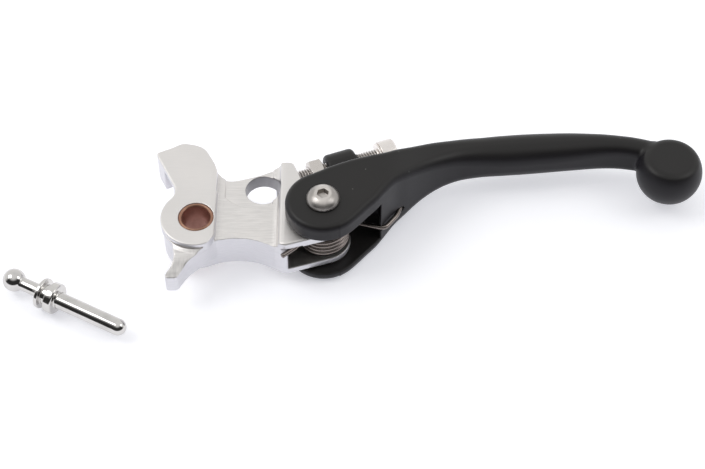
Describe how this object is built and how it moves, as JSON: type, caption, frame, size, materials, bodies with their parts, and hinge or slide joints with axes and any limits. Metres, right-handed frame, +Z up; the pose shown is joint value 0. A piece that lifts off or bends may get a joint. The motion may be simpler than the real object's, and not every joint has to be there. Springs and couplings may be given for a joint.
{
  "type": "clutch lever",
  "caption": "Adjustable folding clutch lever: machined base, black forged blade with ball end, torsion spring return, stop screw with jam nut, and a loose ball-ended push rod.",
  "frame": {"origin": "main pivot bush axis at mid height of the lever base", "axes": "+X outboard along the lever, +Y towards the handlebar, +Z up along the pivot axis"},
  "size_m": [0.2007, 0.065, 0.0275],
  "materials": {
    "base_aluminium": "machined, light satin, cutter marks",
    "bush_bronze": "sintered bronze, oiled",
    "blade_black": "satin black powder coat",
    "stainless": "plain stainless steel",
    "sleeve_steel": "ground steel",
    "washer_steel": "plain steel",
    "spring_steel": "dull drawn spring wire",
    "rod_chrome": "polished"
  },
  "bodies": {
    "base": {"lever_base": "base_aluminium", "main_pivot_bush": "bush_bronze", "fork_bush_upper": "bush_bronze", "fork_bush_lower": "bush_bronze", "thrust_washer_upper": "washer_steel", "thrust_washer_lower": "washer_steel", "torsion_spring": "spring_steel"},
    "blade": {"lever_blade": "blade_black", "pivot_screw": "stainless", "pivot_sleeve": "sleeve_steel"},
    "stop_screw": {"stop_screw": "stainless"},
    "jam_nut": {"jam_nut": "stainless"},
    "push_rod": {"push_rod": "rod_chrome"}
  },
  "joints": [
    {"name": "blade_fold", "type": "hinge", "parent": "base", "child": "blade", "pos_m": [0.03577, 0.00112, 0], "axis": [0, 0, 1], "range_deg": [-90, 0], "stiffness_Nm_per_rad": 0.207, "springref_deg": 30, "deforming": ["torsion_spring"]},
    {"name": "stop_screw_travel", "type": "slide", "parent": "blade", "child": "stop_screw", "axis": [0.9367, 0.3502, 0], "range_m": [0, 0.004]},
    {"name": "jam_nut_travel", "type": "slide", "parent": "blade", "child": "jam_nut", "axis": [-0.9367, -0.3502, 0], "range_m": [0, 0.003]},
    {"name": "push_rod_swivel", "type": "hinge", "parent": "base", "child": "push_rod", "pos_m": [-0.05156, -0.01188, -0.00705], "axis": [0, 0, 1], "range_deg": [-12, 12]}
  ]
}
